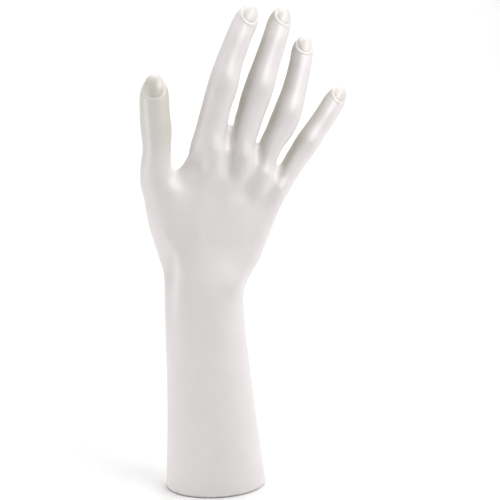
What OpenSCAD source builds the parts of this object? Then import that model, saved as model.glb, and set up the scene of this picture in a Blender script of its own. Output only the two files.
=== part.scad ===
// Free-standing hand for showing rings and bracelets: a right hand on its forearm, moulded as one
// hollow shell, with a plug, a ballast block and a soft pad closing its foot.
// Millimetres, +Z up. The origin is the middle of the pad's underside, -Y is the back of the hand
// and +X points towards the little finger.

/* [Shell] */
// Wall of the moulded shell
wall = 2.6; // [1.6:0.1:4]
// Round on the lower edge of the shell
rim_round = 1; // [0.4:0.1:2]
// Width and height of the ledge inside the foot that the plug stops against
ledge = [1.8, 3]; // [1:0.1:6]
// How far the hollow runs from the wrist to the fingers, as a share
hollow_reach = 0.3; // [0.1:0.05:0.5]
// Round at the upper end of the hollow
hollow_round = 7; // [2:0.5:8]

/* [Forearm] */
// Width and depth of the foot of the forearm
foot_size = [60, 48]; // [44:0.5:80]
// Width and depth of the forearm halfway up
middle_size = [51.5, 40]; // [40:0.5:70]
// Width and depth of the wrist
wrist_size = [47, 33]; // [28:0.5:60]
// Height of the wrist
arm_length = 112; // [80:1:150]
// Shift of the wrist towards the little finger
wrist_shift = -6.5; // [-20:0.5:20]
// Rise of the bump of bone at the back of the wrist
wrist_rise = 1.4; // [0:0.1:3]

/* [Palm] */
// Dorsal and palmar depth of the palm halfway up
palm_depth = [12.5, 14]; // [8:0.5:20]
// Dorsal and palmar depth of the palm at the knuckles
knuckle_depth = [9.5, 11]; // [6:0.5:16]
// How far the outer edge of the palm is drawn in
palm_waist = 0.5; // [0:0.5:5]
// Rise of each knuckle above the back of the hand
knuckle_rise = 2; // [0.5:0.1:3]
// Rise of the middle joint of each finger
joint_rise = 0.9; // [0:0.1:2]
// Swell of the ball of the thumb and of the heel of the hand
palm_swell = 4; // [0:0.5:6]
// Depth of the hollow of the palm
palm_hollow = 2.5; // [0:0.5:4]
// Reach of the palm past the knuckles
palm_reach = 13.5; // [8:0.5:16]
// Reach of the three webs past the knuckles, from the index finger on
web_reach = [12, 17.5, 7]; // [4:0.5:20]
// Thickness of the webs at their edge
web_t = 8; // [5:0.5:12]
// Sag of the webs between fingers
web_sag = 1.5; // [0:0.1:3]
// Round on the edge of the palm under the fingers
web_round = 4; // [1:0.5:5]

/* [Thumb] */
// Start of its metacarpal, from the middle of the wrist
thumb_root = [-10.5, 5, 6]; // [-30:0.5:30]
// Lengths of the metacarpal, proximal and distal bones
thumb_bones = [65, 32.5, 28.5]; // [15:0.5:80]
// Lean of each bone towards the little finger, in degrees
thumb_lean = [-12.5, 0, 0]; // [-40:0.5:40]
// Curl of each bone towards the palm, in degrees
thumb_curl = [6, 5, 6]; // [-20:0.5:40]
// Widths at the ball, the knuckle, the end joint and the nail
thumb_width = [17, 18.6, 18.4, 17.4]; // [10:0.1:30]
// Width and length of the nail
thumb_nail = [13.5, 14.5]; // [5:0.1:18]
// Turn of the nail towards the little finger, in degrees
thumb_roll = -11; // [-40:1:40]

/* [Index finger] */
// Start of its metacarpal, from the middle of the wrist
index_root = [-9, 2, 6]; // [-30:0.5:30]
// Lengths of the metacarpal, proximal, middle and distal bones
index_bones = [78, 44, 25.5, 26]; // [15:0.5:90]
// Lean of each bone towards the little finger, in degrees
index_lean = [10, 15, 23, 29.5]; // [-30:0.5:60]
// Curl of each bone towards the palm, in degrees
index_curl = [6.5, 8, 15, 20]; // [-10:0.5:45]
// Widths at the knuckle, the middle joint, the end joint and the nail
index_width = [18.2, 17.2, 15, 14.8]; // [8:0.1:24]
// Width and length of the nail
index_nail = [11, 14.5]; // [5:0.1:16]
// Turn of the nail towards the little finger, in degrees
index_roll = -2; // [-40:1:40]

/* [Middle finger] */
// Start of its metacarpal, from the middle of the wrist
middle_root = [-0.5, 2, 8]; // [-30:0.5:30]
// Lengths of the metacarpal, proximal, middle and distal bones
middle_bones = [75, 46, 29, 25]; // [15:0.5:90]
// Lean of each bone towards the little finger, in degrees
middle_lean = [17, 21.5, 24, 25.5]; // [-30:0.5:60]
// Curl of each bone towards the palm, in degrees
middle_curl = [7, 11, 18, 24]; // [-10:0.5:45]
// Widths at the knuckle, the middle joint, the end joint and the nail
middle_width = [17.2, 17, 14.8, 14.8]; // [8:0.1:24]
// Width and length of the nail
middle_nail = [11, 14.5]; // [5:0.1:16]
// Turn of the nail towards the little finger, in degrees
middle_roll = 1; // [-40:1:40]

/* [Ring finger] */
// Start of its metacarpal, from the middle of the wrist
ring_root = [5, 2, 6]; // [-30:0.5:30]
// Lengths of the metacarpal, proximal, middle and distal bones
ring_bones = [69, 44, 28.5, 23]; // [15:0.5:90]
// Lean of each bone towards the little finger, in degrees
ring_lean = [25, 29, 23, 18]; // [-30:0.5:60]
// Curl of each bone towards the palm, in degrees
ring_curl = [7, 12, 20, 26]; // [-10:0.5:45]
// Widths at the knuckle, the middle joint, the end joint and the nail
ring_width = [16, 16.4, 13.6, 13.4]; // [8:0.1:24]
// Width and length of the nail
ring_nail = [10.2, 14.5]; // [5:0.1:16]
// Turn of the nail towards the little finger, in degrees
ring_roll = -8; // [-40:1:40]

/* [Little finger] */
// Start of its metacarpal, from the middle of the wrist
little_root = [13, 3, 2]; // [-30:0.5:30]
// Lengths of the metacarpal, proximal, middle and distal bones
little_bones = [67, 36, 20.5, 23.2]; // [15:0.1:90]
// Lean of each bone towards the little finger, in degrees
little_lean = [28.5, 38.5, 41.5, 39.5]; // [-30:0.5:60]
// Curl of each bone towards the palm, in degrees
little_curl = [7, 11, 17, 20]; // [-10:0.5:45]
// Widths at the knuckle, the middle joint, the end joint and the nail
little_width = [14.4, 14.2, 13.3, 12.8]; // [8:0.1:24]
// Width and length of the nail
little_nail = [9.6, 12]; // [5:0.1:16]
// Turn of the nail towards the little finger, in degrees
little_roll = -4; // [-40:1:40]

/* [Foot] */
// Thickness of the pad under the foot
pad_t = 1.5; // [0.8:0.1:3]
// How far the pad stands below the edge of the shell
pad_proud = 0.4; // [0.2:0.1:1]
// Margin between the pad and the edge of the plug
pad_margin = 2; // [1:0.5:5]
// Thickness of the plug
plug_t = 5; // [3:0.5:10]
// Gap round the plug in its seat
plug_gap = 0.15; // [0.05:0.05:0.4]
// Height of the ballast block
ballast_h = 36; // [20:1:45]
// Gap round the ballast block
ballast_gap = 0.4; // [0.2:0.1:1]

/* [Hidden] */
arm_sides = 44;
hollow_sides = 28;
digit_sides = 20;
$fn = 20;
wrist_at = [wrist_shift, 0, arm_length];

// A digit's values, in the order that the functions below read them. Its widths start with the metacarpal's
metacarpal_share = 0.5;
function finger(root, bones, lean, curl, width, nail, roll) =
    [root, bones, lean, curl, concat([width[0] * metacarpal_share], width), nail, roll];
THUMB = [thumb_root, thumb_bones, thumb_lean, thumb_curl, thumb_width, thumb_nail, thumb_roll];
INDEX = finger(index_root, index_bones, index_lean, index_curl, index_width, index_nail, index_roll);
MIDDLE = finger(middle_root, middle_bones, middle_lean, middle_curl, middle_width, middle_nail, middle_roll);
RING = finger(ring_root, ring_bones, ring_lean, ring_curl, ring_width, ring_nail, ring_roll);
LITTLE = finger(little_root, little_bones, little_lean, little_curl, little_width, little_nail, little_roll);
FINGERS = [INDEX, MIDDLE, RING, LITTLE];

// Vectors, and a curve that passes point i at t = i and runs out straight past its ends
function unit(v) = v / norm(v);
function mix(a, b, share) = a + (b - a) * share;
function point(k, i) =
    let (last = len(k) - 1)
    i < 0 ? k[0] + (k[1] - k[0]) * i : i > last ? k[last] + (k[last] - k[last - 1]) * (i - last) : k[i];
function spline(k, t) =
    let (i = floor(t), f = t - i, a = point(k, i - 1), b = point(k, i), c = point(k, i + 1),
         d = point(k, i + 2))
    b + (c - a) * (f / 2) + (a * 2 - b * 5 + c * 4 - d) * (f * f / 2)
      + (b * 3 - a - c * 3 + d) * (f * f * f / 2);

// Bones: joint 0 is the start of the metacarpal and joint 1 the knuckle
function bone_count(d) = len(d[1]);
function heading(lean, curl) = [sin(lean) * cos(curl), sin(curl), cos(lean) * cos(curl)];
function joints(d) = [for (i = 0, p = wrist_at + d[0]; i <= bone_count(d);
    p = p + (i < bone_count(d) ? heading(d[2][i], d[3][i]) * d[1][i] : [0, 0, 0]), i = i + 1) p];
function axis_at(d, u) = spline(joints(d), u);
function along(d, u) = unit(axis_at(d, u + 0.02) - axis_at(d, u - 0.02));
function back_of(h, roll) =
    let (flat = unit([0, -1, 0] - h * (h * [0, -1, 0])))
    flat * cos(roll) + cross(h, flat) * sin(roll);

// Soft swells of the skin: where, how far round and how high. A positive depth is on the back of a bone
function off_axis(d, u, depth) = axis_at(d, u) + back_of(along(d, u), 0) * depth;
wrist_bone_at = wrist_at + [wrist_size[0] * 0.3, -wrist_size[1] * 0.4, -wrist_size[1] * 0.1];
SWELLS = concat(
    [for (d = FINGERS) each [
        [off_axis(d, 1, knuckle_depth[0]), d[4][1] * 0.45, knuckle_rise],
        [off_axis(d, 0.7, knuckle_depth[0]), d[4][1] * 0.35, knuckle_rise * 0.5],
        [off_axis(d, 0.45, knuckle_depth[0]), d[4][1] * 0.35, knuckle_rise * 0.35],
        [off_axis(d, 2, d[4][2] * 0.42), d[4][2] * 0.45, joint_rise],
        [off_axis(d, 1.2, -knuckle_depth[1]), d[4][1] * 0.45, palm_swell * 0.3]]],
    [[wrist_bone_at, wrist_size[1] * 0.3, wrist_rise],
     [off_axis(THUMB, 0.4, -thumb_width[0] * 0.6), thumb_width[0] * 1.1, palm_swell],
     [off_axis(LITTLE, 0.3, -little_width[0] * 0.6), little_width[0] * 1.15, palm_swell * 0.7],
     [off_axis(MIDDLE, 0.7, -palm_depth[1]), palm_depth[1], -palm_hollow]]);
function swell(p) =
    let (rises = [for (w = SWELLS) let (q = norm(p - w[0]) / w[1]) q < 2.5 ? w[2] * exp(-q * q) : 0])
    rises * [for (r = rises) 1];

// A ring round a centre: side and back are its axes, with one depth on the back and one on the palm side.
// An ellipse has fullness 1, and a lower fullness is boxier
function fuller(v, fullness) = sign(v) * pow(abs(v), fullness);
function ring(centre, side, back, half_w, back_d, palm_d, sides, fullness = 1) =
    [for (j = [0 : sides - 1])
        let (q = 360 * j / sides, c = fuller(cos(q), fullness), s = fuller(sin(q), fullness),
             depth = s < 0 ? back_d : palm_d, p = centre + side * (half_w * c) - back * (depth * s))
        p + unit(side * (c / half_w) - back * (s / depth)) * swell(p)];

// A closed skin through rings of equal length, from the lowest to the highest
module skin(rings) {
    sides = len(rings[0]);
    last = len(rings) - 1;
    walls = [for (i = [0 : last - 1], j = [0 : sides - 1]) let (k = (j + 1) % sides)
        [i * sides + j, (i + 1) * sides + j, (i + 1) * sides + k, i * sides + k]];
    low_end = [for (j = [0 : sides - 1]) j];
    high_end = [for (j = [sides - 1 : -1 : 0]) last * sides + j];
    polyhedron([for (r = rings) each r], concat([low_end], walls, [high_end]), convexity = 8);
}

// A digit's width runs through its joints to its nail, slimmer between joints, and its tip narrows to a
// rounded end. Its palm side swells into a pad on each bone
bone_waist = 0.03;
tip_share = 0.95;
depth_share = 0.46;
pad_swell = 0.7;
function width_at(d, u) =
    spline(d[4], u) * (1 - (u > 1 && u < bone_count(d) - 1 ? bone_waist * pow(sin(180 * u), 2) : 0));
function tip_span(d) = d[4][bone_count(d)] * tip_share / d[1][bone_count(d) - 1];
function taper(d, u) = sqrt(1 - pow(max(0, 1 - (bone_count(d) - u) / tip_span(d)), 2));

// Columns of a digit's ring, in degrees from the middle of its back: those of the nail, one in the groove and
// one on the fold of skin at each side of it, and the rest spread round the palm side
nail_columns = 6;
rest_columns = digit_sides - nail_columns - 5;
function columns(half, rim) =
    let (edge = half + 2 * rim)
    concat([for (j = [0 : nail_columns]) half * (2 * j / nail_columns - 1)], [half + rim, edge],
           [for (j = [1 : rest_columns]) edge + (360 - 2 * edge) * j / (rest_columns + 1)],
           [-edge, -half - rim]);
function lifts(plate, groove, fold) =
    concat([for (j = [0 : nail_columns]) plate], [-groove, fold], [for (j = [1 : rest_columns]) 0],
           [fold, -groove]);

// A ring of a digit. The nail keeps at least a share of the digit's width where the tip narrows
function digit_ring(d, u, half, rim, lift, least) =
    let (h = along(d, u), back = back_of(h, d[6]), side = cross(h, back), q = columns(half, rim),
         pad = pad_swell * (0.5 - 0.5 * cos(360 * u)) * taper(d, u))
    [for (j = [0 : digit_sides - 1])
        let (w = width_at(d, u) * max(j > nail_columns ? 0 : least, taper(d, u)),
             depth = w * depth_share + (cos(q[j]) < 0 ? pad : 0),
             p = axis_at(d, u) + side * (w / 2 * sin(q[j])) + back * (depth * cos(q[j])))
        p + unit(side * (sin(q[j]) / w * 2) + back * (cos(q[j]) / depth)) * (swell(p) + lift[j])];

// A nail is a curved plate let into the back of the last bone, round at its root and at its free edge.
// A groove runs round it, under a fold of skin that fades towards the tip
bone_steps = 5;
lead_steps = 3;
lead = 4;
nail_rows = 8;
nail_rim = 0.5;
nail_sink = 0.7;
nail_lift = 0.3;
nail_fold = 0.3;
nail_setback = 0.8;
nail_edge_share = 0.45;
function nail_half(d, s) =
    let (root = sqrt(1 - pow(max(0, 1 - s / 0.4), 2)), edge = sqrt(1 - pow(max(0, (s - 0.7) / 0.33), 2)))
    asin(min(0.97, d[5][0] / d[4][bone_count(d)])) * root * edge;
function nail_row(d, first, last, s) =
    let (u = mix(first, last, s), t = taper(d, u), rim = nail_rim / width_at(d, u) * 115)
    digit_ring(d, u, nail_half(d, s), rim,
               lifts(mix(-nail_lift, nail_lift, s), nail_sink * t, nail_fold * (1 - s)), nail_edge_share);
module digit(d, start) {
    ends = bone_count(d);
    mm = 1 / d[1][ends - 1];
    last = ends - nail_setback * mm;
    first = last - d[5][1] * mm;
    column = 360 / digit_sides;
    spread = column * nail_columns / 2;
    root_half = nail_half(d, 0.01);
    root_rim = nail_rim / width_at(d, first) * 115;
    flat = lifts(0, 0, 0);
    skin(concat(
        [for (u = [start : 1 / bone_steps : first - lead * mm - 0.05])
            digit_ring(d, u, spread, column, flat, 0)],
        [for (i = [0 : lead_steps]) let (f = i / lead_steps, u = first - mix(lead, nail_rim * 2, f) * mm)
            digit_ring(d, u, mix(spread, root_half, f), mix(column, root_rim, f), flat, 0)],
        [digit_ring(d, first - nail_rim * mm, root_half, root_rim,
                    lifts(nail_fold, -nail_fold, nail_fold), 0)],
        [digit_ring(d, first - nail_rim * 0.4 * mm, root_half, root_rim,
                    lifts(-nail_sink, nail_sink * 0.5, nail_fold), 0)],
        [for (i = [0 : nail_rows])
            nail_row(d, first, last, 0.01 + 0.98 * (1 - cos(180 * i / nail_rows)) / 2)],
        [for (f = [0.1, 0.6, 0.95])
            digit_ring(d, mix(last, ends, f), nail_half(d, 0.99), root_rim, flat, 0)]));
}

// Sections of the arm: inner edge, outer edge, depth on the back, depth on the palm side and fullness.
// The palm's inner edge runs up the thumb, round the web beside it and on to the knuckle of the index finger
function across(p, size) = [p - [size[0] / 2, 0, 0], p + [size[0] / 2, 0, 0], size[1] / 2, size[1] / 2, 1];
function knuckle_side(d) = let (h = along(d, 1)) cross(h, back_of(h, 0)) * (d[4][1] / 2);
inner_knuckle = axis_at(INDEX, 1) - knuckle_side(INDEX);
outer_knuckle = axis_at(LITTLE, 1) + knuckle_side(LITTLE);
foot_at = [0, 0, pad_proud];
wrist = across(wrist_at, wrist_size);
palm_low = [axis_at(THUMB, 0.5) - [thumb_width[0] * 0.2, 0, 0],
            mix(wrist[1], outer_knuckle, 0.45) - [palm_waist, 0, 0], palm_depth[0], palm_depth[1], 0.85];
palm_high = [axis_at(THUMB, 1) + [thumb_width[1] * 0.35, 0, thumb_width[1] * 0.1],
             mix(wrist[1], outer_knuckle, 0.8) - [palm_waist, 0, 0],
             mix(palm_depth[0], knuckle_depth[0], 0.7), mix(palm_depth[1], knuckle_depth[1], 0.7), 0.8];
palm_end = [inner_knuckle, outer_knuckle, knuckle_depth[0], knuckle_depth[1], 0.8];
web_end = [inner_knuckle + along(INDEX, 1) * palm_reach, outer_knuckle + along(LITTLE, 1) * palm_reach,
           knuckle_depth[0] * 0.55, knuckle_depth[1] * 0.5, 0.8];
ARM = [across(foot_at, foot_size), across((foot_at + wrist_at) / 2, middle_size), wrist,
       palm_low, palm_high, palm_end, web_end];
least_depth = 2;
function arm_ring(t, inset, sides) =
    let (k = spline(ARM, t), side = unit(k[1] - k[0]), back = back_of(unit(cross(side, [0, 1, 0])), 0))
    ring((k[0] + k[1]) / 2, side, back, norm(k[1] - k[0]) / 2 - inset, max(least_depth, k[2] - inset),
         max(least_depth, k[3] - inset), sides, k[4]);
function level(z) = (z - foot_at[2]) / (wrist_at[2] - foot_at[2]) * 2;
function foot_outline(z, inset) = [for (p = arm_ring(level(z), inset, arm_sides)) [p[0], p[1]]];

module arm() {
    ends = len(ARM) - 1;
    rim = level(foot_at[2] + rim_round);
    skin(concat([for (q = [0 : 30 : 60])
                    arm_ring(rim * (1 - cos(q)), rim_round * (1 - sin(q)), arm_sides)],
                [for (t = [rim : 0.25 : 1.7]) arm_ring(t, 0, arm_sides)],
                [for (t = [1.8 : 0.15 : ends - 0.25]) arm_ring(t, 0, arm_sides)],
                [for (q = [0 : 30 : 60])
                    arm_ring(ends - 0.2 * (1 - sin(q)), web_round * (1 - cos(q)), arm_sides)]));
}

// A soft sheet: rows of balls, each a centre and a diameter, joined four at a time
module sheet(rows) {
    for (i = [0 : len(rows) - 2], j = [0 : len(rows[0]) - 2])
        hull()
            for (b = [rows[i][j], rows[i][j + 1], rows[i + 1][j], rows[i + 1][j + 1]])
                translate(b[0]) sphere(d = b[1]);
}

// A web between two fingers: almost flush with their backs at the knuckles, thin at its sagging edge
SHARES = [0, 0.35, 0.65, 1];
web_fill = 0.77;
web_drop = 2;
web_span = [0.9, 1.1];
module finger_web(a, b, reach) {
    edge_u = [for (d = [a, b]) 1 + (reach - web_t / 2) / d[1][1]];
    edge_at = [off_axis(a, edge_u[0], -web_drop), off_axis(b, edge_u[1], -web_drop)];
    root_t = (a[4][1] + b[4][1]) / 2 * web_fill;
    sag = along(a, 1) * web_sag * 4;
    root = [for (u = web_span) [for (f = SHARES) [mix(axis_at(a, u), axis_at(b, u), f), root_t]]];
    edge = [for (f = SHARES) [mix(edge_at[0], edge_at[1], f) - sag * f * (1 - f), web_t]];
    sheet(concat(root, [edge]));
}

// The muscle in the fork of thumb and index finger. Each row: its place along the long bone of each, then as
// shares of the thumb's width its rise above the thumb and above the index finger, its thickness and its sag
FORK = [[0.2, 0.2, 0.11, -0.16, 0.8, 0], [0.6, 0.45, 0.13, -0.11, 0.8, 0],
        [0.8, 0.66, 0.08, -0.05, 0.75, 0.2], [0.97, 0.84, 0, -0.05, 0.54, 0.85]];
module thumb_muscle() {
    w = thumb_width[1];
    sheet([for (row = FORK)
        let (inner = off_axis(THUMB, row[0], row[2] * w), outer = off_axis(INDEX, row[1], row[3] * w))
        [for (f = SHARES) [mix(inner, outer, f) - [0, 0, row[5] * w * f * (1 - f)], row[4] * w]]]);
}

// The foot, from the floor up: pad, plug in its mouth, ledge of the shell, ballast
plug_top = pad_t + plug_t;
ledge_top = plug_top + ledge[1];
module foot_block(low, high, inset) {
    translate([0, 0, low]) linear_extrude(high - low) polygon(foot_outline(plug_top, inset));
}
module hollow() {
    first = level(ledge_top);
    last = 2 + hollow_reach * (len(ARM) - 3);
    foot_block(-pad_t, plug_top, wall);
    foot_block(0, ledge_top + wall, wall + ledge[0]);
    skin(concat([for (t = [first : 0.2 : last - 0.1]) arm_ring(t, wall, hollow_sides)],
                [for (q = [0 : 30 : 90])
                    arm_ring(last + 0.2 * sin(q), wall + hollow_round * (1 - cos(q)), hollow_sides)]));
}

module hand_shell() {
    color("ivory") difference() {
        union() {
            arm();
            digit(THUMB, 0.1);
            for (d = FINGERS) digit(d, 0.6);
            for (i = [0 : len(FINGERS) - 2]) finger_web(FINGERS[i], FINGERS[i + 1], web_reach[i]);
            thumb_muscle();
        }
        hollow();
    }
}

module base_plug() {
    color("gainsboro") foot_block(pad_t, plug_top, wall + plug_gap);
}

module ballast_weight() {
    levels = 6;
    color("darkgray")
        skin([for (i = [0 : levels])
            arm_ring(level(plug_top + ballast_h * i / levels), wall + ledge[0] + ballast_gap, hollow_sides)]);
}

module foot_pad() {
    color("dimgray") foot_block(0, pad_t, wall + plug_gap + pad_margin);
}

hand_shell();
base_plug();
ballast_weight();
foot_pad();
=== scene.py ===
import math

import bmesh
import bpy
import numpy as np
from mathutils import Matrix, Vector


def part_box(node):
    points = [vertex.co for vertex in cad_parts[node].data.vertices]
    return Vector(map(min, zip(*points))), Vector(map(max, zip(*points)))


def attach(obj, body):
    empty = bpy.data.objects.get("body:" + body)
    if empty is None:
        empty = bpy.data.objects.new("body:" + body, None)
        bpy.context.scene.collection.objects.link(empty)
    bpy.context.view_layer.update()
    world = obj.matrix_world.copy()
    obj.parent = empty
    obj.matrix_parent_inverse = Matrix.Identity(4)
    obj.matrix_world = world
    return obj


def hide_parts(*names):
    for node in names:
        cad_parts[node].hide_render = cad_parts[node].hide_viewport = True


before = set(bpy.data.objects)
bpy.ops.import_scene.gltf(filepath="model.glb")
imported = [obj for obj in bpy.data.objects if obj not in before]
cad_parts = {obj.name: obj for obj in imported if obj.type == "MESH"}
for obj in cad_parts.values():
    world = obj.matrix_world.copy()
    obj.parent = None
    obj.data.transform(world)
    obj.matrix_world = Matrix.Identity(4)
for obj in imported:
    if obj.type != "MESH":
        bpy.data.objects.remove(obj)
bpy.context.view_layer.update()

# The hand and its forearm: one hollow plastic moulding, sprayed pearl white and open at the forearm's foot.
# Forearm, palm, digits, webs and the muscle of the thumb are drawn as limbs and fused into one skin, whose
# creases fill into fillets. Knuckles, joints, pads and the lines of the palm are then pressed into it.
mm = 0.001
wall = 2.6
rim_round = 1.0
ledge_width = 1.8
foot_size = (60, 48)
middle_size = (51.5, 40)
wrist_size = (47, 33)
foot_at = np.array([0, 0, 0.4])
wrist_at = np.array([-6.5, 0, 112])
palm_depth = (12.5, 14)
knuckle_depth = (9, 11)
web_reach = (9, 16, 3.5)
web_t = 8
foot_overrun = 8
voxel = 1.0
# Of a digit's width: the length of its rounded tip, half its depth, and how much slimmer its bones are
tip_share, depth_share, bone_slim = 0.95, 0.46, 0.03
finger_pad = 0.7
# How much slimmer two fingers are near the root on the sides that face each other, and which side that is
root_pinch = {"ring": (0.2, 1), "little": (0.2, -1)}
pinch_at, pinch_span = 1.42, 0.17
# Each digit: the start of its metacarpal seen from the wrist, its bones with their lean and curl, its widths
# at the joints, the width and length of its nail, and the roll of its back
digits = {
    "thumb": dict(root=(-10.5, 5, 6), bones=(65, 32.5, 28.5), lean=(-12.5, 0, 0), curl=(6, 5, 6),
                  width=(17, 18.6, 18.4, 17.4), nail=(11, 13.6), roll=-11),
    "index": dict(root=(-9, 2, 6), bones=(78, 44, 25.5, 26), lean=(10, 15, 23, 29.5), curl=(6.5, 8, 15, 20),
                  width=(9.1, 18.2, 17.2, 15, 14.8), nail=(9.4, 13.6), roll=-2),
    "middle": dict(root=(-0.5, 2, 8), bones=(75, 46, 29, 25), lean=(17, 21.5, 24, 25.5),
                   curl=(7, 11, 18, 24), width=(8.6, 17.2, 17, 14.8, 14.8), nail=(9.4, 13.6), roll=1),
    "ring": dict(root=(5, 2, 6), bones=(69, 44, 28.5, 23), lean=(25, 29, 23, 18), curl=(7, 12, 20, 26),
                 width=(8.2, 16, 16.4, 13.6, 13.4), nail=(8.8, 13.4), roll=-8),
    "little": dict(root=(13, 3, 2), bones=(67, 36, 20.5, 23.2), lean=(28.5, 38.5, 41.5, 39.5),
                   curl=(7, 11, 17, 20), width=(7.2, 14.4, 14.2, 13.3, 12.8), nail=(8.2, 11.2), roll=-4),
}
fingers = ("index", "middle", "ring", "little")


def unit(v):
    return v / np.linalg.norm(v, axis=-1, keepdims=True)


def mix(a, b, share):
    return np.asarray(a) + (np.asarray(b) - np.asarray(a)) * share


def run(points, t):
    """The smooth run that passes points[i] at t = i and goes out straight past both ends."""
    p = np.asarray(points, float).reshape(len(points), -1)
    k = np.vstack([[p[0] + (p[1] - p[0]) * i for i in (-3, -2, -1)], p,
                   [p[-1] + (p[-1] - p[-2]) * i for i in (1, 2, 3)]])
    t = np.atleast_1d(np.asarray(t, float)) + 3
    i = np.clip(np.floor(t).astype(int), 1, len(k) - 3)
    f = (t - i)[:, None]
    a, b, c, d = k[i - 1], k[i], k[i + 1], k[i + 2]
    bend = (a * 2 - b * 5 + c * 4 - d) * (f * f / 2) + (b * 3 - a - c * 3 + d) * (f ** 3 / 2)
    return b + (c - a) * (f / 2) + bend


def joints_of(digit):
    """The ends of a digit's bones: 0 is the start of the metacarpal and 1 the knuckle."""
    points = [wrist_at + np.array(digit["root"], float)]
    for bone, lean, curl in zip(digit["bones"], np.radians(digit["lean"]), np.radians(digit["curl"])):
        heading = [math.sin(lean) * math.cos(curl), math.sin(curl), math.cos(lean) * math.cos(curl)]
        points.append(points[-1] + np.array(heading) * bone)
    return np.array(points)


def back_of(ahead, roll=0.0):
    """The direction of the back of the hand at right angles to a limb, turned by roll degrees."""
    back = unit(np.array([0.0, -1.0, 0.0]) + ahead * ahead[..., 1:2])
    turn = math.radians(roll)
    return back * math.cos(turn) + np.cross(ahead, back) * math.sin(turn)


def digit_frame(digit, u):
    """Centre, side and back of a digit at u, for many u."""
    joints = joints_of(digit)
    ahead = unit(run(joints, u + 0.02) - run(joints, u - 0.02))
    back = back_of(ahead, digit["roll"])
    return run(joints, u), np.cross(ahead, back), back


def tip_span(digit):
    """Share of the last bone over which the tip rounds off."""
    return digit["width"][-1] * tip_share / digit["bones"][-1]


def digit_size(digit, u):
    """Width, depth on the back and depth on the palm side of a digit at u, slimmer between its joints."""
    ends = len(digit["bones"])
    taper = np.sqrt(np.clip(1 - np.clip(1 - (ends - u) / tip_span(digit), 0, 1) ** 2, 0, 1))
    slim = bone_slim * np.sin(np.pi * u) ** 2 * np.clip(u - 0.7, 0, 1) * np.clip(ends - 0.6 - u, 0, 1)
    width = run([[w] for w in digit["width"]], u)[:, 0] * taper * (1 - slim)
    pad = finger_pad * (0.5 - 0.5 * np.cos(2 * np.pi * u)) * taper
    return width, width * depth_share, width * depth_share + pad


def tube(rings):
    """Vertices and faces of a closed skin through rings of equal length."""
    rows, sides, _ = rings.shape
    j = np.arange(sides)
    k = (j + 1) % sides
    faces = []
    for i in range(rows - 1):
        low, high = i * sides, (i + 1) * sides
        faces += [tuple(q) for q in np.stack([low + j, low + k, high + k, high + j], 1).tolist()]
    ends = np.vstack([rings[0].mean(0), rings[-1].mean(0)])
    first, last = rows * sides, rows * sides + 1
    faces += [(first, int(b), int(a)) for a, b in zip(j, k)]
    faces += [(last, int((rows - 1) * sides + a), int((rows - 1) * sides + b)) for a, b in zip(j, k)]
    return np.vstack([rings.reshape(-1, 3), ends]), faces


def digit_skin(digit, start, pinch=0.0, pinched=1):
    """The skin of a digit from u = start to its tip, slimmer near its root on the pinched side."""
    ends, tip = len(digit["bones"]), tip_span(digit)
    shaft = np.arange(start, ends - tip, 0.03)
    u = np.concatenate([shaft, ends - tip * (1 - np.sin(np.linspace(0, 1.5, 36)))])
    centre, side, back = digit_frame(digit, u)
    width, back_d, palm_d = digit_size(digit, u)
    q = np.linspace(0, 2 * np.pi, 72, endpoint=False)
    depth = np.where(np.sin(q)[None, :] < 0, back_d[:, None], palm_d[:, None])
    slim = pinch * np.exp(-((u - pinch_at) / pinch_span) ** 2)[:, None] * np.clip(np.cos(q) * pinched, 0, 1)
    return tube(centre[:, None] + side[:, None] * (width[:, None] / 2 * np.cos(q) * (1 - slim))[..., None]
                - back[:, None] * (depth * np.sin(q))[..., None])


def at(name, u, depth=0.0, aside=0.0):
    """A point of a digit: u along it, depth above its axis on the back, aside towards the little finger."""
    centre, side, back = digit_frame(dict(digits[name], roll=0), np.array([float(u)]))
    return (centre + back * depth + side * aside)[0]


def across(p, size):
    """A section of the forearm: its inner and outer edge, its depths and its fullness."""
    return [*(p - [size[0] / 2, 0, 0]), *(p + [size[0] / 2, 0, 0]), size[1] / 2, size[1] / 2, 1]


index_knuckle = at("index", 1, 0, -digits["index"]["width"][1] / 2)
little_knuckle = at("little", 1, 0, digits["little"]["width"][1] / 2)
wrist_edge = wrist_at + [wrist_size[0] / 2, 0, 0]
index_ahead = unit(at("index", 1.02) - at("index", 0.98))
little_ahead = unit(at("little", 1.02) - at("little", 0.98))
palm_reach = 13.6
# Sections from the foot to the roots of the fingers: inner edge, outer edge, both depths and fullness
arm_sections = [
    across(foot_at, foot_size),
    across((foot_at + wrist_at) / 2, middle_size),
    across(wrist_at, wrist_size),
    [*(at("thumb", 0.5) - [3.4, 0, 0]), *(mix(wrist_edge, little_knuckle, 0.45) - [0.5, 0, 0]),
     *palm_depth, 0.85],
    [*(at("thumb", 1) + [6.4, 0, 1.8]), *(mix(wrist_edge, little_knuckle, 0.8) - [0.5, 0, 0]),
     *mix(palm_depth, knuckle_depth, 0.7), 0.8],
    [*index_knuckle, *little_knuckle, 7.8, 11, 0.8],
    [*(index_knuckle + index_ahead * palm_reach), *(little_knuckle + little_ahead * palm_reach),
     4.6, 5.5, 0.8],
]


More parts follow.
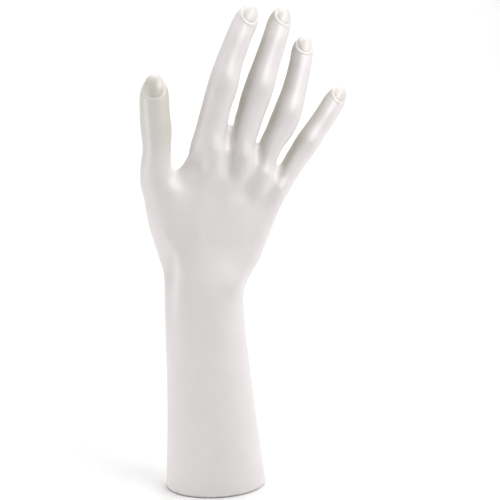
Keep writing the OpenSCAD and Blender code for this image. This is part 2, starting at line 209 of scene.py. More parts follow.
def arm_skin():
    """Forearm and palm, drawn past the foot, where the rim is cut later, and rounded off at the fingers."""
    below_foot = foot_overrun / (wrist_at[2] / 2)
    last = len(arm_sections) - 1
    end = np.linspace(0.1, 1.4, 12)
    t = np.concatenate([np.linspace(-below_foot, 1.7, 60), np.linspace(1.72, last - 0.2, 120),
                        last - 0.2 * (1 - np.sin(end))])
    inset = np.concatenate([np.zeros(len(t) - len(end)), 4 * (1 - np.cos(end))])
    k = run(arm_sections, t)
    inner, outer = k[:, :3], k[:, 3:6]
    side = unit(outer - inner)
    back = back_of(unit(np.cross(side, [0, 1, 0])))
    half = np.linalg.norm(outer - inner, axis=1) / 2 - inset
    back_d, palm_d = np.maximum(2, k[:, 6] - inset), np.maximum(2, k[:, 7] - inset)
    q = np.linspace(0, 2 * np.pi, 144, endpoint=False)
    c = np.sign(np.cos(q)) * np.abs(np.cos(q)) ** k[:, 8:9]
    s = np.sign(np.sin(q)) * np.abs(np.sin(q)) ** k[:, 8:9]
    depth = np.where(s < 0, back_d[:, None], palm_d[:, None])
    return tube((inner + outer)[:, None] / 2 + side[:, None] * (half[:, None] * c)[..., None]
                - back[:, None] * (depth * s)[..., None])


ball = bmesh.new()
bmesh.ops.create_icosphere(ball, subdivisions=2, radius=1)
round_points = np.array([v.co for v in ball.verts])
ball.free()


def hull_skin(balls):
    """The tight skin round balls, each given as centre and radius."""
    bm = bmesh.new()
    for centre, radius in balls:
        for p in centre + round_points * radius:
            bm.verts.new(p)
    made = bmesh.ops.convex_hull(bm, input=bm.verts)
    loose = {g for g in made["geom_interior"] + made["geom_unused"] if isinstance(g, bmesh.types.BMVert)}
    bmesh.ops.delete(bm, geom=list(loose), context="VERTS")
    bm.verts.index_update()
    skin = np.array([v.co for v in bm.verts]), [tuple(v.index for v in f.verts) for f in bm.faces]
    bm.free()
    return skin


def sheet_skin(rows):
    """A soft sheet through rows of balls, hulled four at a time."""
    cells = [(i, j) for i in range(len(rows) - 1) for j in range(len(rows[0]) - 1)]
    return [hull_skin([rows[i][j], rows[i][j + 1], rows[i + 1][j], rows[i + 1][j + 1]]) for i, j in cells]


def finger_web(a, b, reach):
    """The web between two fingers: almost flush with their backs at the knuckles, thin at its edge."""
    edge_u = [1 + (reach - web_t / 2) / digits[n]["bones"][1] for n in (a, b)]
    thick = (digits[a]["width"][1] + digits[b]["width"][1]) / 2 * 0.4
    shares = np.linspace(0, 1, 7)
    ends = at(a, edge_u[0], -3.5), at(b, edge_u[1], -3.5)
    edge = [(mix(*ends, f) - index_ahead * (6 * f * (1 - f)), web_t / 2) for f in shares]
    root = [(mix(at(a, 0.94, 0.8), at(b, 0.94, 0.8), f), thick) for f in shares]
    rise = [(mix(at(a, 1.1, -0.8), at(b, 1.1, -0.8), f), thick) for f in shares]
    return sheet_skin([root, rise, edge])


def thumb_muscle():
    """The muscle in the fork of thumb and index finger, in rows: u on both, depth, radius and sag."""
    rows = ((0.15, 0.15, 1.5, 8, 0), (0.4, 0.35, 2, 8.5, 0), (0.6, 0.5, 1.5, 8, 0), (0.78, 0.66, 1.5, 7, 4),
            (0.97, 0.84, -1.5, 4.5, 16))
    shares = np.linspace(0, 1, 6)
    return sheet_skin([[(mix(at("thumb", u, depth), at("index", v, depth), f) - [0, 0, sag * f * (1 - f)], r)
                        for f in shares] for u, v, depth, r, sag in rows])


limbs = [arm_skin(), digit_skin(digits["thumb"], 0.1)]
limbs += [digit_skin(digits[name], 0.75, *root_pinch.get(name, ())) for name in fingers]
limbs += thumb_muscle()
for first, second, reach in zip(fingers, fingers[1:], web_reach):
    limbs += finger_web(first, second, reach)
points, faces, count = [], [], 0
for limb_points, limb_faces in limbs:
    points.append(limb_points)
    faces += [tuple(i + count for i in face) for face in limb_faces]
    count += len(limb_points)
draft_mesh = bpy.data.meshes.new("hand_limbs")
draft_mesh.from_pydata((np.vstack(points) * mm).tolist(), [], faces)
draft = bpy.data.objects.new("hand_limbs", draft_mesh)
bpy.context.scene.collection.objects.link(draft)
fuse = draft.modifiers.new("fuse", "REMESH")
fuse.mode = "VOXEL"
fuse.voxel_size = voxel * mm
fuse.adaptivity = 0
hand_mesh = bpy.data.meshes.new_from_object(draft.evaluated_get(bpy.context.evaluated_depsgraph_get()))
bpy.data.objects.remove(draft)
bpy.data.meshes.remove(draft_mesh)
hand_mesh.name = "hand_moulding"
hand = bpy.data.objects.new("hand_moulding", hand_mesh)
bpy.context.scene.collection.objects.link(hand)


def skin_of(mesh):
    """Points in millimetres and edges of a mesh."""
    co, edges = np.empty(len(mesh.vertices) * 3), np.empty(len(mesh.edges) * 2, int)
    mesh.vertices.foreach_get("co", co)
    mesh.edges.foreach_get("vertices", edges)
    return co.reshape(-1, 3) / mm, edges.reshape(-1, 2)


def normals_of(mesh):
    normals = np.empty(len(mesh.vertices) * 3)
    mesh.vertices.foreach_get("normal", normals)
    return normals.reshape(-1, 3)


def move_skin(mesh, co):
    mesh.vertices.foreach_set("co", (co * mm).ravel())
    mesh.update()


def neighbour_mean(values, edges):
    """The mean of each point's neighbours."""
    a, b = edges.T
    n = np.bincount(edges.ravel(), minlength=len(values))
    sums = [np.bincount(a, v[b], len(v)) + np.bincount(b, v[a], len(v)) for v in values.T]
    return np.stack([total / n for total in sums], 1)


def smooth_skin(co, edges, pulls, share=1.0):
    """Pulls points towards their neighbours, or away where a pull is negative; a pair keeps the volume."""
    for pull in pulls:
        co = co + (neighbour_mean(co, edges) - co) * pull * share
    return co


def near_path(co, path):
    """For each point, its distance to a path and how far along the path it lies, from 0 to 1."""
    best, share = np.full(len(co), 1e9), np.zeros(len(co))
    for i in range(len(path) - 1):
        a, b = np.asarray(path[i], float), np.asarray(path[i + 1], float)
        f = np.clip((co - a) @ (b - a) / ((b - a) @ (b - a)), 0, 1)
        d = np.linalg.norm(co - a - f[:, None] * (b - a), axis=1)
        nearer = d < best
        best[nearer], share[nearer] = d[nearer], (i + f[nearer]) / (len(path) - 1)
    return best, share


def step(value, low, high):
    """A smooth step from 0 at low to 1 at high."""
    f = np.clip((value - low) / (high - low), 0, 1)
    return f * f * (3 - 2 * f)


# Voxel steps come off first, and then the creases between limbs fill into soft fillets
co, edges = skin_of(hand_mesh)
co = smooth_skin(co, edges, (0.6, -0.62) * 8)
move_skin(hand_mesh, co)
for fillet in range(4):
    hollow = ((neighbour_mean(co, edges) - co) * normals_of(hand_mesh)).sum(1)
    soft = np.clip((hollow - 0.005) / 0.035, 0, 1)[:, None]
    for spread in range(4):
        soft = np.maximum(soft * 0.94, neighbour_mean(soft, edges))
    co = smooth_skin(co, edges, (0.6,) * 11, soft)
    move_skin(hand_mesh, co)
# The back of the hand runs into the fingers without a break, so the ends of the limbs are ironed out there
knuckle_line = [at(name, 0.97, 8) for name in fingers]
fork_line = [at("thumb", 0.8, 7), at("index", 0.72, 7)]
wrist_line = [at("thumb", 0.15, 7), at("index", 0.1, 9)]
faces_back = step(-normals_of(hand_mesh)[:, 1], 0.25, 0.7)
for line, reach, rounds in ((knuckle_line, 15, 30), (fork_line, 22, 110), (wrist_line, 24, 110)):
    ironed = step(-near_path(co, line)[0], -reach, -reach * 0.4) * faces_back
    co = smooth_skin(co, edges, (0.5,) * rounds, ironed[:, None])
co = smooth_skin(co, edges, (0.6, -0.61) * 10)
move_skin(hand_mesh, co)

normals = normals_of(hand_mesh)
rise = np.zeros(len(co))
back_side, palm_side = (0, -1, 0), (0, 1, 0)


def swell(path, radius, height, facing, fade=0.0):
    """Raises or sinks the skin along a path, on the side that faces the given way; fade dims both ends."""
    d, share = near_path(co, path if len(path) > 1 else [path[0], np.add(path[0], [0, 0, 0.01])])
    ends = step(np.minimum(share, 1 - share), 0, fade) if fade else 1.0
    turned = step(normals @ unit(np.array(facing, float)), -0.1, 0.5)
    return height * np.exp(-(d / radius) ** 2) * ends * turned


# For each finger, how far its knuckle lies towards the little finger, and the hollow beside it: its place
# along the bone, its place aside and its depth
knuckle_shapes = {"index": (3, 0.92, -4, 3.4), "middle": (4, 0.91, -3.5, 3.4),
                  "ring": (2, 0.86, -4.5, 2.4), "little": (0.5, 0.88, -5, 1.2)}
for name, (ridge, low, beside, deep) in knuckle_shapes.items():
    digit = digits[name]
    knuckle = digit["width"][1]
    # The knuckle, the hollow on its thumb side, its tendon towards the wrist, and the middle and end joints
    rise += swell([at(name, 0.93, 8, ridge), at(name, 1.06, 8, ridge)], knuckle * 0.36, 3.8, back_side)
    rise += swell([at(name, low, 9, beside)], knuckle * 0.36, -deep, back_side)
    rise += swell([at(name, 0.72, 9, -knuckle * 0.35)], knuckle * 0.75, -0.4, back_side)
    tendon = 1.0 if name == "middle" else 0.3
    rise += swell([at(name, 0.9, 9), at(name, 0.7, 9), at(name, 0.5, 9)], 3, tendon, back_side, 0.5)
    rise += swell([at(name, 2, 7)], digit["width"][2] * 0.45, 1.4, back_side)
    rise += swell([at(name, 3, 6)], digit["width"][3] * 0.4, 0.4, back_side)
    # The pad under the knuckle
    rise += swell([at(name, 1.12, -10)], 7.5, 1.2, palm_side)
# The grooves that run from the webs down between the knuckles, and the slimmer sides of the finger gaps: what
# is taken off on either side of each gap, and from where to where along the fingers
gap_sides = ((1.3, 1.1, 1.6), (0.6, 1.1, 1.6), (1.2, 1.3, 1.6))
for first, second, (slim, low, high) in zip(fingers, fingers[1:], gap_sides):
    groove = [mix(at(first, 1.26, 6), at(second, 1.26, 6), 0.5),
              mix(at(first, 1.1, 8), at(second, 1.1, 8), 0.55),
              at(second, 0.96, 9, -digits[second]["width"][1] * 0.4)]
    rise += swell(groove, 4, -1.6, back_side)
    sides = digits[first]["width"][1] / 2, -digits[second]["width"][1] / 2
    gap = [mix(at(first, u, 0, sides[0]), at(second, u, 0, sides[1]), 0.5) for u in (low, high)]
    rise -= swell(gap, 6.5, slim, (1, 0, 0)) + swell(gap, 6.5, slim, (-1, 0, 0))
# The bottom of the gap beside the index finger, which reaches lower than its web
rise += swell([(13.6, 15, 212)], 3.4, -3.0, (0, 0.1, 1))
# The muscle between thumb and index finger, the wrist bone and the fall of the forearm below the wrist
rise += swell([(-23, 2, 176), (-25, 1, 169)], 6.5, 2.2, (-0.2, -1, 0.2))
rise += swell([(10, -12, 121)], 7.5, 1.2, (0.3, -1, 0))
rise += swell([(-31, 0, 141), (-31, 0, 131)], 9, -2.2, (-1, 0, 0))
rise += swell([(18, 0, 118)], 8, -1.2, (1, 0, 0))
rise += swell([(-14, -16, 119), (4, -16, 121)], 9, 0.25, back_side)
# The waist of the thumb between its joints, its slimmer end, and the flare of the index finger into the web
rise += swell([at("thumb", 1.5, 0, -9)], 9, -2.2, (-1, 0, 0))
rise += swell([at("thumb", 1.0, 0, -9.5)], 5, 0.9, (-1, 0, 0))
rise += swell([at("thumb", 2.3, 0, 9)], 9, -1.0, (1, 0, 0))
rise += swell([at("index", 1.08, 0, -9)], 8, 1.3, (-1, 0, 0))
rise += swell([(-12.5, 13, 195.5)], 5, 1.2, (-1, 0, 0.4))
rise += swell([(-18, 14, 190)], 6, -2.0, (-0.3, 0, 1))
# Knuckle of the thumb, ball of the thumb, heel of the hand and hollow of the palm
rise += swell([at("thumb", 1, 8)], 8, 0.8, back_side)
rise += swell([at("thumb", 2, 8)], 8, 0.5, back_side)
rise += swell([at("thumb", 0.3, -10), at("thumb", 0.6, -9)], 15, 3.6, palm_side)
rise += swell([at("little", 0.2, -9), at("little", 0.6, -9)], 12, 2.6, palm_side)
rise += swell([at("middle", 0.45, -13), at("middle", 0.8, -12)], 12, -2.4, palm_side)
rise = smooth_skin(rise[:, None], edges, (0.7,) * 14)[:, 0]
# The folds on the inside of the finger joints
for name in fingers:
    half = digits[name]["width"][1] / 2
    for u, depth in ((1.38, 0.4), (2.0, 0.5), (2.06, 0.3), (3.0, 0.4)):
        fold = [at(name, u, -8, -half), at(name, u - 0.02, -8.5), at(name, u, -8, half)]
        rise += swell(fold, 1.6, -depth, palm_side, 0.15)
# The three lines of the palm: round the ball of the thumb, across the middle and under the fingers
ball_line = [at("index", 0.86, -12, -8), at("index", 0.7, -14, 2), at("middle", 0.45, -15, -1),
             at("middle", 0.2, -15, -4), at("middle", 0.02, -14, -6)]
head_line = [at("index", 0.84, -12, -8), at("middle", 0.66, -14, -2), at("ring", 0.52, -14, 1),
             at("little", 0.4, -12)]
heart_line = [at("index", 1.08, -11, 6), at("middle", 0.9, -13, 1), at("ring", 0.83, -13),
              at("little", 0.76, -10, 6)]
for line in (ball_line, head_line, heart_line):
    rise += swell(run(line, np.linspace(0, len(line) - 1, 25)), 1.7, -0.7, palm_side, 0.12)
co = co + normals * rise[:, None]
co = smooth_skin(co, edges, (0.5, -0.51) * 3)
move_skin(hand_mesh, co)

# The nails: plates moulded in one with the fingers, sunk at the root under a raised fold of skin, with a
# groove along the sides and a free edge a little proud of the fingertip. The skin is made finer there.
nail_setback = 0.4
nail_refine = 3
# The margin round a nail that is made finer, and the reach from the last bone's middle that is looked at
nail_margin = 3
nail_reach = 30


def nail_frame(digit):
    """The middle of the last bone and the directions across, along and out of the nail."""
    joints, middle = joints_of(digit), len(digit["bones"]) - 0.5
    ahead = unit(run(joints, middle + 0.3) - run(joints, middle - 0.3))[0]
    back = back_of(ahead, digit["roll"])
    return run(joints, middle)[0], np.stack([np.cross(ahead, back), ahead, back], 1)


def nail_half(digit, share):
    """Half the nail's width at a share of its length, round at the root and squarer at the free edge."""
    root = np.sqrt(1 - np.clip(1 - share / 0.34, 0, 1) ** 2)
    edge = np.sqrt(1 - np.clip((share - 0.62) / 0.41, 0, 1) ** 2)
    return digit["nail"][0] / 2 * root * edge


def nail_place(digit, co):
    """Points seen from above a nail: across it, along it as a share, and their distance outside it."""
    middle, axes = nail_frame(digit)
    length = digit["nail"][1]
    root = digit["bones"][-1] / 2 - nail_setback - length
    x, y, _ = ((co - middle) @ axes).T
    s = (1 - np.cos(np.linspace(0, np.pi, 41))) / 2
    side = np.stack([nail_half(digit, s), root + s * length], 1)
    outline = np.vstack([side, side[::-1] * [-1, 1]])
    share = (y - root) / length
    inside = (share > 0) & (share < 1) & (np.abs(x) < nail_half(digit, np.clip(share, 0, 1)))
    distance = near_path(np.stack([x, y], 1), outline)[0]
    return x, share, np.where(inside, -distance, distance)


bm = bmesh.new()
bm.from_mesh(hand_mesh)
bm.faces.ensure_lookup_table()
centres = np.array([f.calc_center_median() for f in bm.faces]) / mm
facing = np.array([f.normal for f in bm.faces])
finer = set()
for digit in digits.values():
    near = np.linalg.norm(centres - nail_frame(digit)[0], axis=1) < nail_reach
    near &= facing @ nail_frame(digit)[1][:, 2] > -0.25
    picked = np.flatnonzero(near)
    outside = nail_place(digit, centres[picked])[2]
    finer |= {e for i in picked[outside < nail_margin] for e in bm.faces[i].edges}
bmesh.ops.subdivide_edges(bm, edges=list(finer), cuts=nail_refine - 1, use_grid_fill=True)
bm.to_mesh(hand_mesh)
bm.free()

co, edges = skin_of(hand_mesh)
normals = normals_of(hand_mesh)
is_nail = np.zeros(len(co))
lift = np.zeros(len(co))
fine = np.zeros(len(co))
for name, digit in digits.items():
    middle, axes = nail_frame(digit)
    near = np.linalg.norm(co - middle, axis=1) < nail_reach
    near = np.flatnonzero(near & (normals @ axes[:, 2] > -0.35))
    x, share, outside = nail_place(digit, co[near])
    fold = 1 - step(share, 0.45, 0.85)
    plate = step(-outside, -0.1, 0.35)
    sunk = plate * mix(-0.25, 0.35, step(share, 0, 0.8))
    groove = -0.18 * np.exp(-((outside + 0.15) / 0.45) ** 2) * (1 - step(share, 0.8, 1))
    raised = 0.24 * np.exp(-((outside - 0.8) / 0.7) ** 2) * fold
    lift[near] += sunk + groove + raised
    # The thumb has one more fold of skin behind its nail
    if name == "thumb":
        lift[near] += 0.25 * np.exp(-((outside - 2.2) / 0.5) ** 2) * (1 - step(share, -0.05, 0.1))
    is_nail[near] = np.maximum(is_nail[near], plate * (1 if name == "thumb" else 0.5))
    fine[near] = np.maximum(fine[near], step(-outside, -nail_margin, 1 - nail_margin))
co = smooth_skin(co, edges, (0.6, -0.61) * 14, fine[:, None])
move_skin(hand_mesh, co)
co = co + normals_of(hand_mesh) * lift[:, None]
move_skin(hand_mesh, co)
hand_mesh.attributes.new("nail", "FLOAT", "POINT").data.foreach_set("value", is_nail)

# The pearl is a sprayed lacquer. Painted shade: where a digit faces its neighbour, where shade falls between
# the fingers, and over the thumb, which the index finger shades, the colour is darkened to a duller, yellower
# tone.
# For each digit: how much shade is painted all round and on that side, how far the skin has to turn that way,
# over what share of the digit it fades in, and the side, 1 for the little finger's
painted_shade_sides = {"thumb": (0.24, 0.6, 0.0, 0.5, 1), "middle": (0, 0.55, 0.45, 0.12, -1),
              "ring": (0, 0.55, 0.45, 0.12, -1), "little": (0, 0.6, 0.4, 0.12, -1)}
normals = normals_of(hand_mesh)
painted_shade = np.zeros(len(co))
places = 21
for name, (least, most, turned, fade, towards) in painted_shade_sides.items():
    digit = digits[name]
    centre, side, _ = digit_frame(dict(digit, roll=0), np.linspace(1.05, len(digit["bones"]) - 0.1, places))
    d, share = near_path(co, centre)
    on_digit = step(-d / digit["width"][1], -0.75, -0.62) * step(share, 0, fade) * step(1 - share, 0, 0.1)
    aside = (normals * side[np.rint(share * (places - 1)).astype(int)]).sum(1) * towards
    painted_shade = np.maximum(painted_shade, on_digit * mix(least, most, step(aside, turned, 1)))
painted_shade = smooth_skin(painted_shade[:, None], edges, (0.7,) * 8)[:, 0]
hand_mesh.attributes.new("painted_shade", "FLOAT", "POINT").data.foreach_set("value", painted_shade)

# The rim of the foot: the skin is cut above it, rounds under, and turns up inside to the plug's ledge
bm = bmesh.new()
bm.from_mesh(hand_mesh)
cut = foot_at[2] + rim_round
bmesh.ops.bisect_plane(bm, geom=bm.verts[:] + bm.edges[:] + bm.faces[:], plane_co=(0, 0, cut * mm),
                       plane_no=(0, 0, 1), clear_inner=True)
bm.normal_update()
border = {}
for e in bm.edges:
    if e.is_boundary:
        border.setdefault(e.verts[0], []).append(e.verts[1])
        border.setdefault(e.verts[1], []).append(e.verts[0])
loop = [next(iter(border))]
while len(loop) < len(border):
    loop.append(next(v for v in border[loop[-1]] if len(loop) < 2 or v is not loop[-2]))
outline = np.array([v.co for v in loop]) / mm
if np.cross(outline[:, :2], np.roll(outline[:, :2], -1, 0)).sum() < 0:
    loop, outline = loop[::-1], outline[::-1]
tangent = unit(np.roll(outline, -2, 0) - np.roll(outline, 2, 0))
inward = np.stack([-tangent[:, 1], tangent[:, 0], np.zeros(len(loop))], 1)
lip = 0.4
bore = wall + lip
_, plug_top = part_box("base_plug")
plug_high = plug_top.z / mm
turn = np.radians(np.arange(15, 91, 15))
profile = [(rim_round * (1 - math.cos(a)), cut - rim_round * math.sin(a)) for a in turn]
turn = np.radians(np.arange(0, 91, 30))
profile += [(bore - lip + lip * math.sin(a), foot_at[2] + lip * (1 - math.cos(a))) for a in turn]
profile += [(bore, plug_high), (bore + ledge_width, plug_high)]
above = loop
for inset, z in profile:
    ring = outline + inward * inset
    ring[:, 2] = z
    below = [bm.verts.new(p * mm) for p in ring]
    for i in range(len(loop)):
        j = (i + 1) % len(loop)
        bm.faces.new((above[i], below[i], below[j], above[j]))
    above = below
bmesh.ops.recalc_face_normals(bm, faces=bm.faces[:])
for face in bm.faces:
    face.smooth = True
bm.to_mesh(hand_mesh)
bm.free()
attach(hand, "root")
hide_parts("hand_shell")


def add(tree, kind, **values):
    """Adds a node and sets its properties, or its inputs where a value's name is an input's."""
    node = tree.nodes.new(kind)
    for key, value in values.items():
        label = key.replace("_", " ")
        if label in node.inputs:
            node.inputs[label].default_value = value
        else:
            setattr(node, key, value)
    return node


def grain_group(name, broad, fine, bump, depth):
    """A shared effect: broad clouds, a fine grain and the normal of a slightly uneven surface."""
    group = bpy.data.node_groups.new(name, "ShaderNodeTree")
    sockets = {"Cloud": "NodeSocketFloat", "Grain": "NodeSocketFloat", "Normal": "NodeSocketVector"}
    for label, kind in sockets.items():
        group.interface.new_socket(label, in_out="OUTPUT", socket_type=kind)
    place = add(group, "ShaderNodeTexCoord")
    cloud = add(group, "ShaderNodeTexNoise", Scale=broad, Detail=3.0, Roughness=0.55)
    grain = add(group, "ShaderNodeTexNoise", Scale=fine, Detail=2.0, Roughness=0.6)
    uneven = add(group, "ShaderNodeBump", Strength=bump, Distance=depth)
    out = add(group, "NodeGroupOutput")
    for noise in (cloud, grain):
        group.links.new(place.outputs["Object"], noise.inputs["Vector"])
    group.links.new(grain.outputs["Fac"], uneven.inputs["Height"])
    group.links.new(cloud.outputs["Fac"], out.inputs["Cloud"])
    group.links.new(grain.outputs["Fac"], out.inputs["Grain"])
    group.links.new(uneven.outputs["Normal"], out.inputs["Normal"])
    return group


def new_material(name):
    material = bpy.data.materials.new(name)
    material.use_nodes = True
    tree = material.node_tree
    return material, tree, tree.nodes["Principled BSDF"]


def use_group(tree, group):
    node = tree.nodes.new("ShaderNodeGroup")
    node.node_tree = group
    return node


def blend(tree, factor, low, high):
    """A colour that goes from low to high by a factor; low or high may be another node's output."""
    node = add(tree, "ShaderNodeMix", data_type="RGBA", clamp_factor=True)
    tree.links.new(factor, node.inputs["Factor"])
    for label, value in (("A", low), ("B", high)):
        socket = next(s for s in node.inputs if s.name == label and s.type == "RGBA")
        if isinstance(value, tuple):
            socket.default_value = (*value, 1)
        else:
            tree.links.new(value, socket)
    return next(s for s in node.outputs if s.type == "RGBA")


def ramp(tree, value, low, high, to_low, to_high):
    """Maps a value's range to another, without going past its ends."""
    node = add(tree, "ShaderNodeMapRange", From_Min=low, From_Max=high, To_Min=to_low, To_Max=to_high)
    tree.links.new(value, node.inputs["Value"])
    return node.outputs["Result"]


pearl_shades = (0.745, 0.719, 0.714), (0.805, 0.779, 0.774)
# The duller, yellower tone of the painted shade between the fingers and on the thumb
painted_shade_tint = (0.51, 0.495, 0.385)
nail_tint = (0.62, 0.605, 0.545)
scuff_tint = (0.45, 0.44, 0.41)
pearl, tree, shader = new_material("pearl_plastic")
mottle = use_group(tree, grain_group("pearl_mottle", 90.0, 900.0, 0.06, 0.0002))
nail_mask = add(tree, "ShaderNodeAttribute", attribute_name="nail")
# Small scuffs at the rim of the foot, fewer further up
place = add(tree, "ShaderNodeTexCoord")
height = add(tree, "ShaderNodeSeparateXYZ")
tree.links.new(place.outputs["Object"], height.inputs["Vector"])
scuffs = add(tree, "ShaderNodeTexNoise", Scale=420.0, Detail=6.0, Roughness=0.75)
tree.links.new(place.outputs["Object"], scuffs.inputs["Vector"])
low_down = ramp(tree, height.outputs["Z"], 0.0006, 0.005, 0.4, 1.0)
rubbed = add(tree, "ShaderNodeMath", operation="GREATER_THAN")
tree.links.new(scuffs.outputs["Fac"], rubbed.inputs[0])
tree.links.new(low_down, rubbed.inputs[1])
body = blend(tree, mottle.outputs["Cloud"], *pearl_shades)
# Painted shade: the sides of the digits that face a neighbour, and the thumb, are darkened and yellowed
painted_shade_mask = add(tree, "ShaderNodeAttribute", attribute_name="painted_shade")
body = blend(tree, painted_shade_mask.outputs["Fac"], body, painted_shade_tint)
body = blend(tree, nail_mask.outputs["Fac"], body, nail_tint)
body = blend(tree, ramp(tree, rubbed.outputs["Value"], 0, 1, 0, 0.35), body, scuff_tint)
tree.links.new(body, shader.inputs["Base Color"])
gloss = ramp(tree, mottle.outputs["Grain"], 0.3, 0.7, 0.46, 0.58)
tree.links.new(gloss, shader.inputs["Roughness"])
tree.links.new(mottle.outputs["Normal"], shader.inputs["Normal"])
tree.links.new(ramp(tree, nail_mask.outputs["Fac"], 0, 1, 0.25, 0.6), shader.inputs["Coat Weight"])
shader.inputs["Coat Roughness"].default_value = 0.27
shader.inputs["Metallic"].default_value = 0.08
shader.inputs["IOR"].default_value = 1.46
hand_mesh.materials.append(pearl)

# The ballast: a block cast in the foot's own outline, hidden in the forearm and glued to the plug.
# A rough, pale grey mineral casting with darker pits, on the CAD solid itself.
cast, tree, shader = new_material("cast_ballast")
sand = use_group(tree, grain_group("sand_casting", 160.0, 1500.0, 0.5, 0.0004))
shade = blend(tree, sand.outputs["Cloud"], (0.42, 0.40, 0.36), (0.56, 0.54, 0.49))
pits = ramp(tree, sand.outputs["Grain"], 0.5, 0.3, 0, 0.6)
tree.links.new(blend(tree, pits, shade, (0.22, 0.21, 0.19)), shader.inputs["Base Color"])
tree.links.new(ramp(tree, sand.outputs["Cloud"], 0.3, 0.7, 0.5, 0.72), shader.inputs["Roughness"])
tree.links.new(sand.outputs["Normal"], shader.inputs["Normal"])
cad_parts["ballast_weight"].data.materials.clear()
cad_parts["ballast_weight"].data.materials.append(cast)

# The plug: a disc of matt off-white plastic pressed into the mouth of the shell, up to its ledge.
# Only a narrow ring of it shows round the pad; it keeps the faint grain of its mould.
disc, tree, shader = new_material("plug_plastic")
spark = use_group(tree, grain_group("spark_texture", 60.0, 2600.0, 0.25, 0.0001))
off_white = blend(tree, spark.outputs["Cloud"], (0.64, 0.625, 0.56), (0.71, 0.695, 0.63))
tree.links.new(off_white, shader.inputs["Base Color"])
tree.links.new(ramp(tree, spark.outputs["Grain"], 0.3, 0.7, 0.42, 0.58), shader.inputs["Roughness"])
tree.links.new(spark.outputs["Normal"], shader.inputs["Normal"])
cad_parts["base_plug"].data.materials.clear()
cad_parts["base_plug"].data.materials.append(disc)

# The foot pad: a die-cut oval of grey felt stuck under the plug. Its cut edge is soft and a little uneven,
# its underside lies flat on the table, and its fibres show as a fine tangle.
pad_low, pad_high = (np.array(corner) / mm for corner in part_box("foot_pad"))
pad_middle, pad_half = (pad_low + pad_high) / 2, (pad_high - pad_low) / 2
pad_edge = 0.45
sides = 180
around = np.linspace(0, 2 * np.pi, sides, endpoint=False)
fuzz = 0.12 * np.sin(around * 23 + 1.3) * np.sin(around * 57 + 0.4) - 0.12
rows = []
for inset, z in ((20, pad_low[2]), (9, pad_low[2]), (2.5, pad_low[2]), (1, pad_low[2])):
    rows.append((inset, z, 0.0))
for a in np.radians(np.arange(0, 91, 15)):
    rows.append((pad_edge * (1 - math.sin(a)), pad_low[2] + pad_edge * (1 - math.cos(a)), 1.0))
for a in np.radians(np.arange(0, 91, 30)):
    rows.append((pad_edge * 0.4 * (1 - math.cos(a)), pad_high[2] - pad_edge * 0.4 * (1 - math.sin(a)), 1.0))
rows += [(2.5, pad_high[2], 0.0), (20, pad_high[2], 0.0)]
rings = np.stack([np.stack([pad_middle[0] + (pad_half[0] - inset + fuzz * rough) * np.cos(around),
                            pad_middle[1] + (pad_half[1] - inset + fuzz * rough) * np.sin(around),
                            np.full(sides, z)], 1) for inset, z, rough in rows])
pad_points, pad_faces = tube(rings)
pad_mesh = bpy.data.meshes.new("felt_pad")
pad_mesh.from_pydata((pad_points * mm).tolist(), [], pad_faces)
for poly in pad_mesh.polygons:
    poly.use_smooth = True
pad = bpy.data.objects.new("felt_pad", pad_mesh)
bpy.context.scene.collection.objects.link(pad)
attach(pad, "root")
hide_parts("foot_pad")
felt, tree, shader = new_material("felt")
tangle = use_group(tree, grain_group("felt_tangle", 350.0, 3200.0, 0.9, 0.0004))
wool = blend(tree, tangle.outputs["Cloud"], (0.28, 0.27, 0.24), (0.38, 0.37, 0.335))
fibres = ramp(tree, tangle.outputs["Grain"], 0.55, 0.75, 0, 0.7)
tree.links.new(blend(tree, fibres, wool, (0.52, 0.51, 0.47)), shader.inputs["Base Color"])
tree.links.new(ramp(tree, tangle.outputs["Grain"], 0.3, 0.7, 0.8, 1.0), shader.inputs["Roughness"])
tree.links.new(tangle.outputs["Normal"], shader.inputs["Normal"])
shader.inputs["Sheen Weight"].default_value = 0.5
pad_mesh.materials.append(felt)

# The studio: white paper that sweeps up behind the hand, softboxes to the right and in front, low on the
# left, and over the paper, with a weak warm fill, and the camera at the photograph's angle.
sweep_front, sweep_start, sweep_top = -2.5, 0.6, 3.0
sweep_radius, sweep_half = 0.8, 3.0
sweep_mesh = bpy.data.meshes.new("floor")
bend = [(sweep_start + sweep_radius * math.sin(a), sweep_radius - sweep_radius * math.cos(a))
        for a in np.linspace(0.1, math.pi / 2, 14)]
sweep_line = [(sweep_front, 0.0), (sweep_start, 0.0)] + bend + [(sweep_start + sweep_radius, sweep_top)]
sweep_mesh.from_pydata([(x, y, z) for y, z in sweep_line for x in (-sweep_half, sweep_half)], [],
                       [(2 * i, 2 * i + 1, 2 * i + 3, 2 * i + 2) for i in range(len(sweep_line) - 1)])
for poly in sweep_mesh.polygons:
    poly.use_smooth = True
sweep = bpy.data.objects.new("floor", sweep_mesh)
bpy.context.scene.collection.objects.link(sweep)
paper, tree, shader = new_material("floor_paper")
pulp = use_group(tree, grain_group("paper_pulp", 12.0, 500.0, 0.1, 0.0002))
white = blend(tree, pulp.outputs["Cloud"], (0.90, 0.90, 0.90), (0.92, 0.92, 0.92))
tree.links.new(white, shader.inputs["Base Color"])
tree.links.new(pulp.outputs["Normal"], shader.inputs["Normal"])
shader.inputs["Roughness"].default_value = 0.9
sweep_mesh.materials.append(paper)

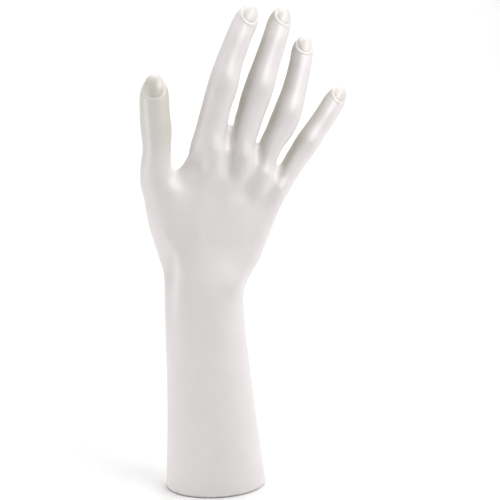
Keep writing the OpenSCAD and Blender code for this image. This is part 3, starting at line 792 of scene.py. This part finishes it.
world = bpy.data.worlds.new("studio")
world.use_nodes = True
tree = world.node_tree
heading = add(tree, "ShaderNodeTexCoord")
towards_light = add(tree, "ShaderNodeVectorMath", operation="DOT_PRODUCT")
towards_light.inputs[1].default_value = (0.05, 0.45, 0.3)
tree.links.new(heading.outputs["Generated"], towards_light.inputs[0])
tree.links.new(ramp(tree, towards_light.outputs["Value"], -0.5, 0.5, 0.09, 0.2),
               tree.nodes["Background"].inputs["Strength"])
tree.nodes["Background"].inputs["Color"].default_value = (1, 0.985, 0.95, 1)
bpy.context.scene.world = world


def softbox(name, place, look_at, size, power, colour=(1, 1, 1)):
    lamp = bpy.data.lights.new(name, "AREA")
    lamp.shape = "RECTANGLE"
    lamp.size, lamp.size_y = size
    lamp.energy = power
    lamp.color = colour
    obj = bpy.data.objects.new(name, lamp)
    obj.location = place
    obj.rotation_euler = (Vector(look_at) - Vector(place)).to_track_quat("-Z", "Y").to_euler()
    bpy.context.scene.collection.objects.link(obj)


softbox("right_softbox", (1.1, 0.0, 0.75), (0.02, 0, 0.18), (0.5, 0.8), 3, (1, 0.985, 0.99))
softbox("front_softbox", (0.54, -0.53, 0.95), (0.02, 0, 0.17), (0.75, 0.55), 8.4, (1, 0.985, 0.99))
softbox("left_softbox", (-1.1, -0.17, 0.38), (0.02, 0, 0.16), (0.5, 0.7), 5, (1, 0.99, 0.995))
softbox("back_softbox", (0.2, 0.5, 1.4), (0.1, 0.9, 0.2), (1.6, 0.6), 15)

focal_px, picture_px = 1239.2, 500
camera_aim, camera_distance = Vector((0.020755, 0, 0.141006)), 0.72
lens = bpy.data.cameras.new("camera")
lens.sensor_width = 36
lens.lens = focal_px / picture_px * lens.sensor_width
lens.clip_start = 0.01
camera = bpy.data.objects.new("camera", lens)
bpy.context.scene.collection.objects.link(camera)
azimuth, elevation = math.radians(-15), math.radians(11)
aside = Vector((math.sin(azimuth), -math.cos(azimuth), 0)) * math.cos(elevation)
towards = aside + Vector((0, 0, math.sin(elevation)))
camera.location = camera_aim + towards * camera_distance
camera.rotation_euler = (-towards).to_track_quat("-Z", "Y").to_euler()
bpy.context.scene.camera = camera
bpy.context.scene.view_settings.view_transform = "Standard"
